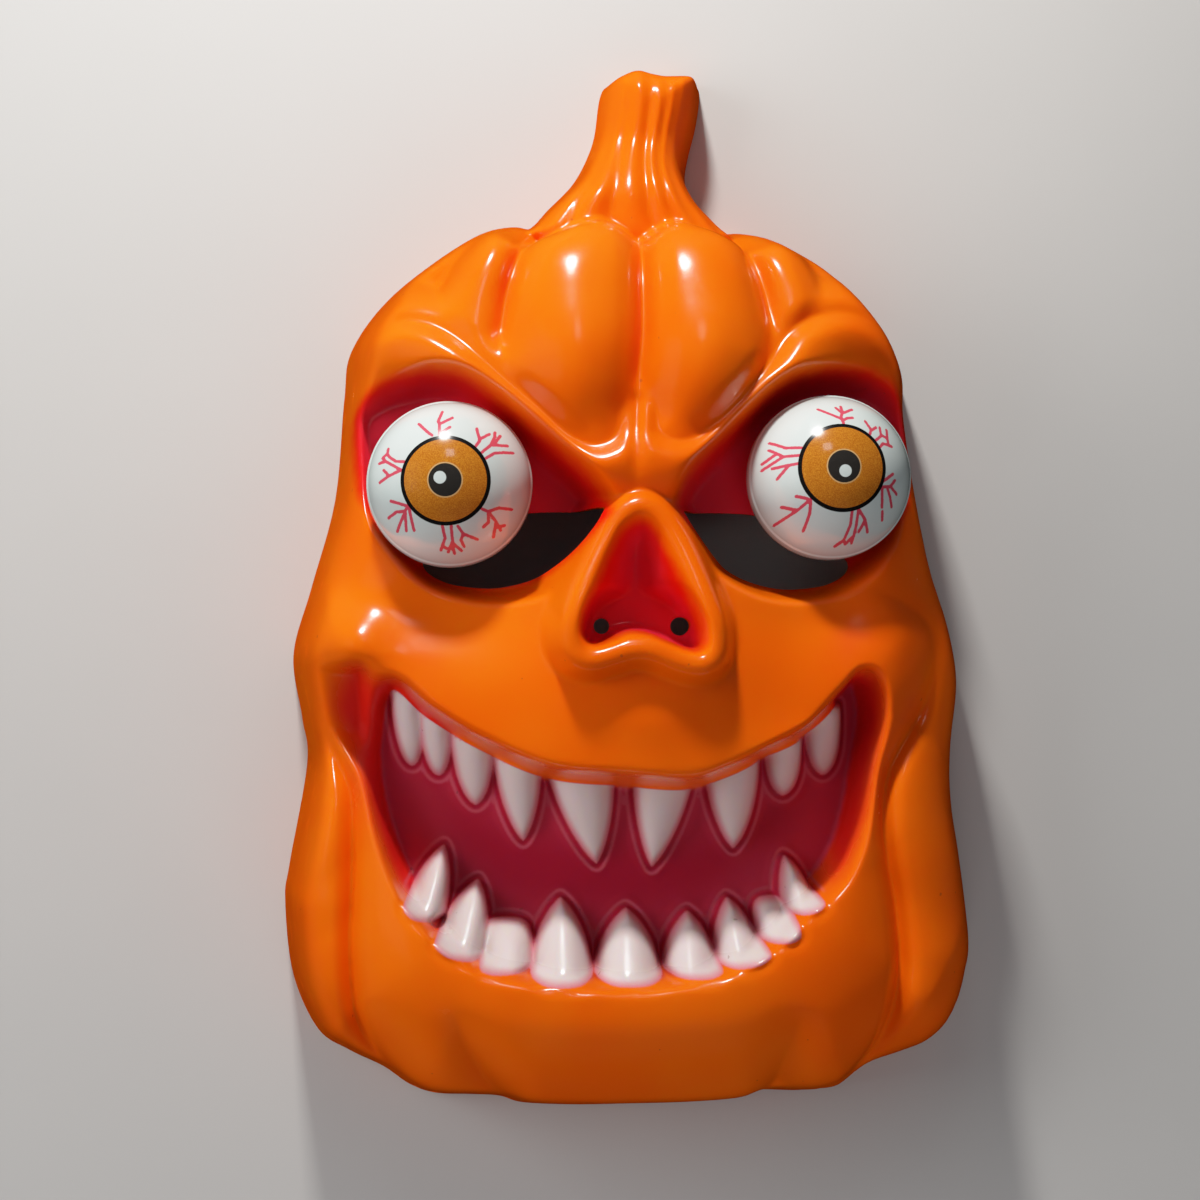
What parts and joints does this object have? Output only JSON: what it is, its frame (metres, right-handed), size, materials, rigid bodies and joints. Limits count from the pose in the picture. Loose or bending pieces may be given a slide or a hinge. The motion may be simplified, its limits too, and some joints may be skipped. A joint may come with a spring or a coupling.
{
  "type": "pumpkin skull mask",
  "caption": "Moulded pumpkin face mask with fluted stem, deep sockets holding ball eyes, look-through slots, ring nose and a wide toothed mouth, open at the back.",
  "frame": {"origin": "middle of the bounding box of the mask, in the plane of the back rim that it lies on", "axes": "+X to the viewer's right across the face, +Y up the face towards the stem, +Z out of the face"},
  "size_m": [0.2256, 0.3438, 0.0912],
  "materials": {
    "orange_plastic": "glossy moulded orange sheet with airbrushed crimson in the mouth, nose and sockets and off-white painted teeth",
    "white_plastic": "high-gloss white with printed golden iris, black pupil and thin crimson veins"
  },
  "bodies": {
    "root": {"mask_shell": "orange_plastic", "left_eyeball": "white_plastic", "right_eyeball": "white_plastic"}
  },
  "joints": []
}
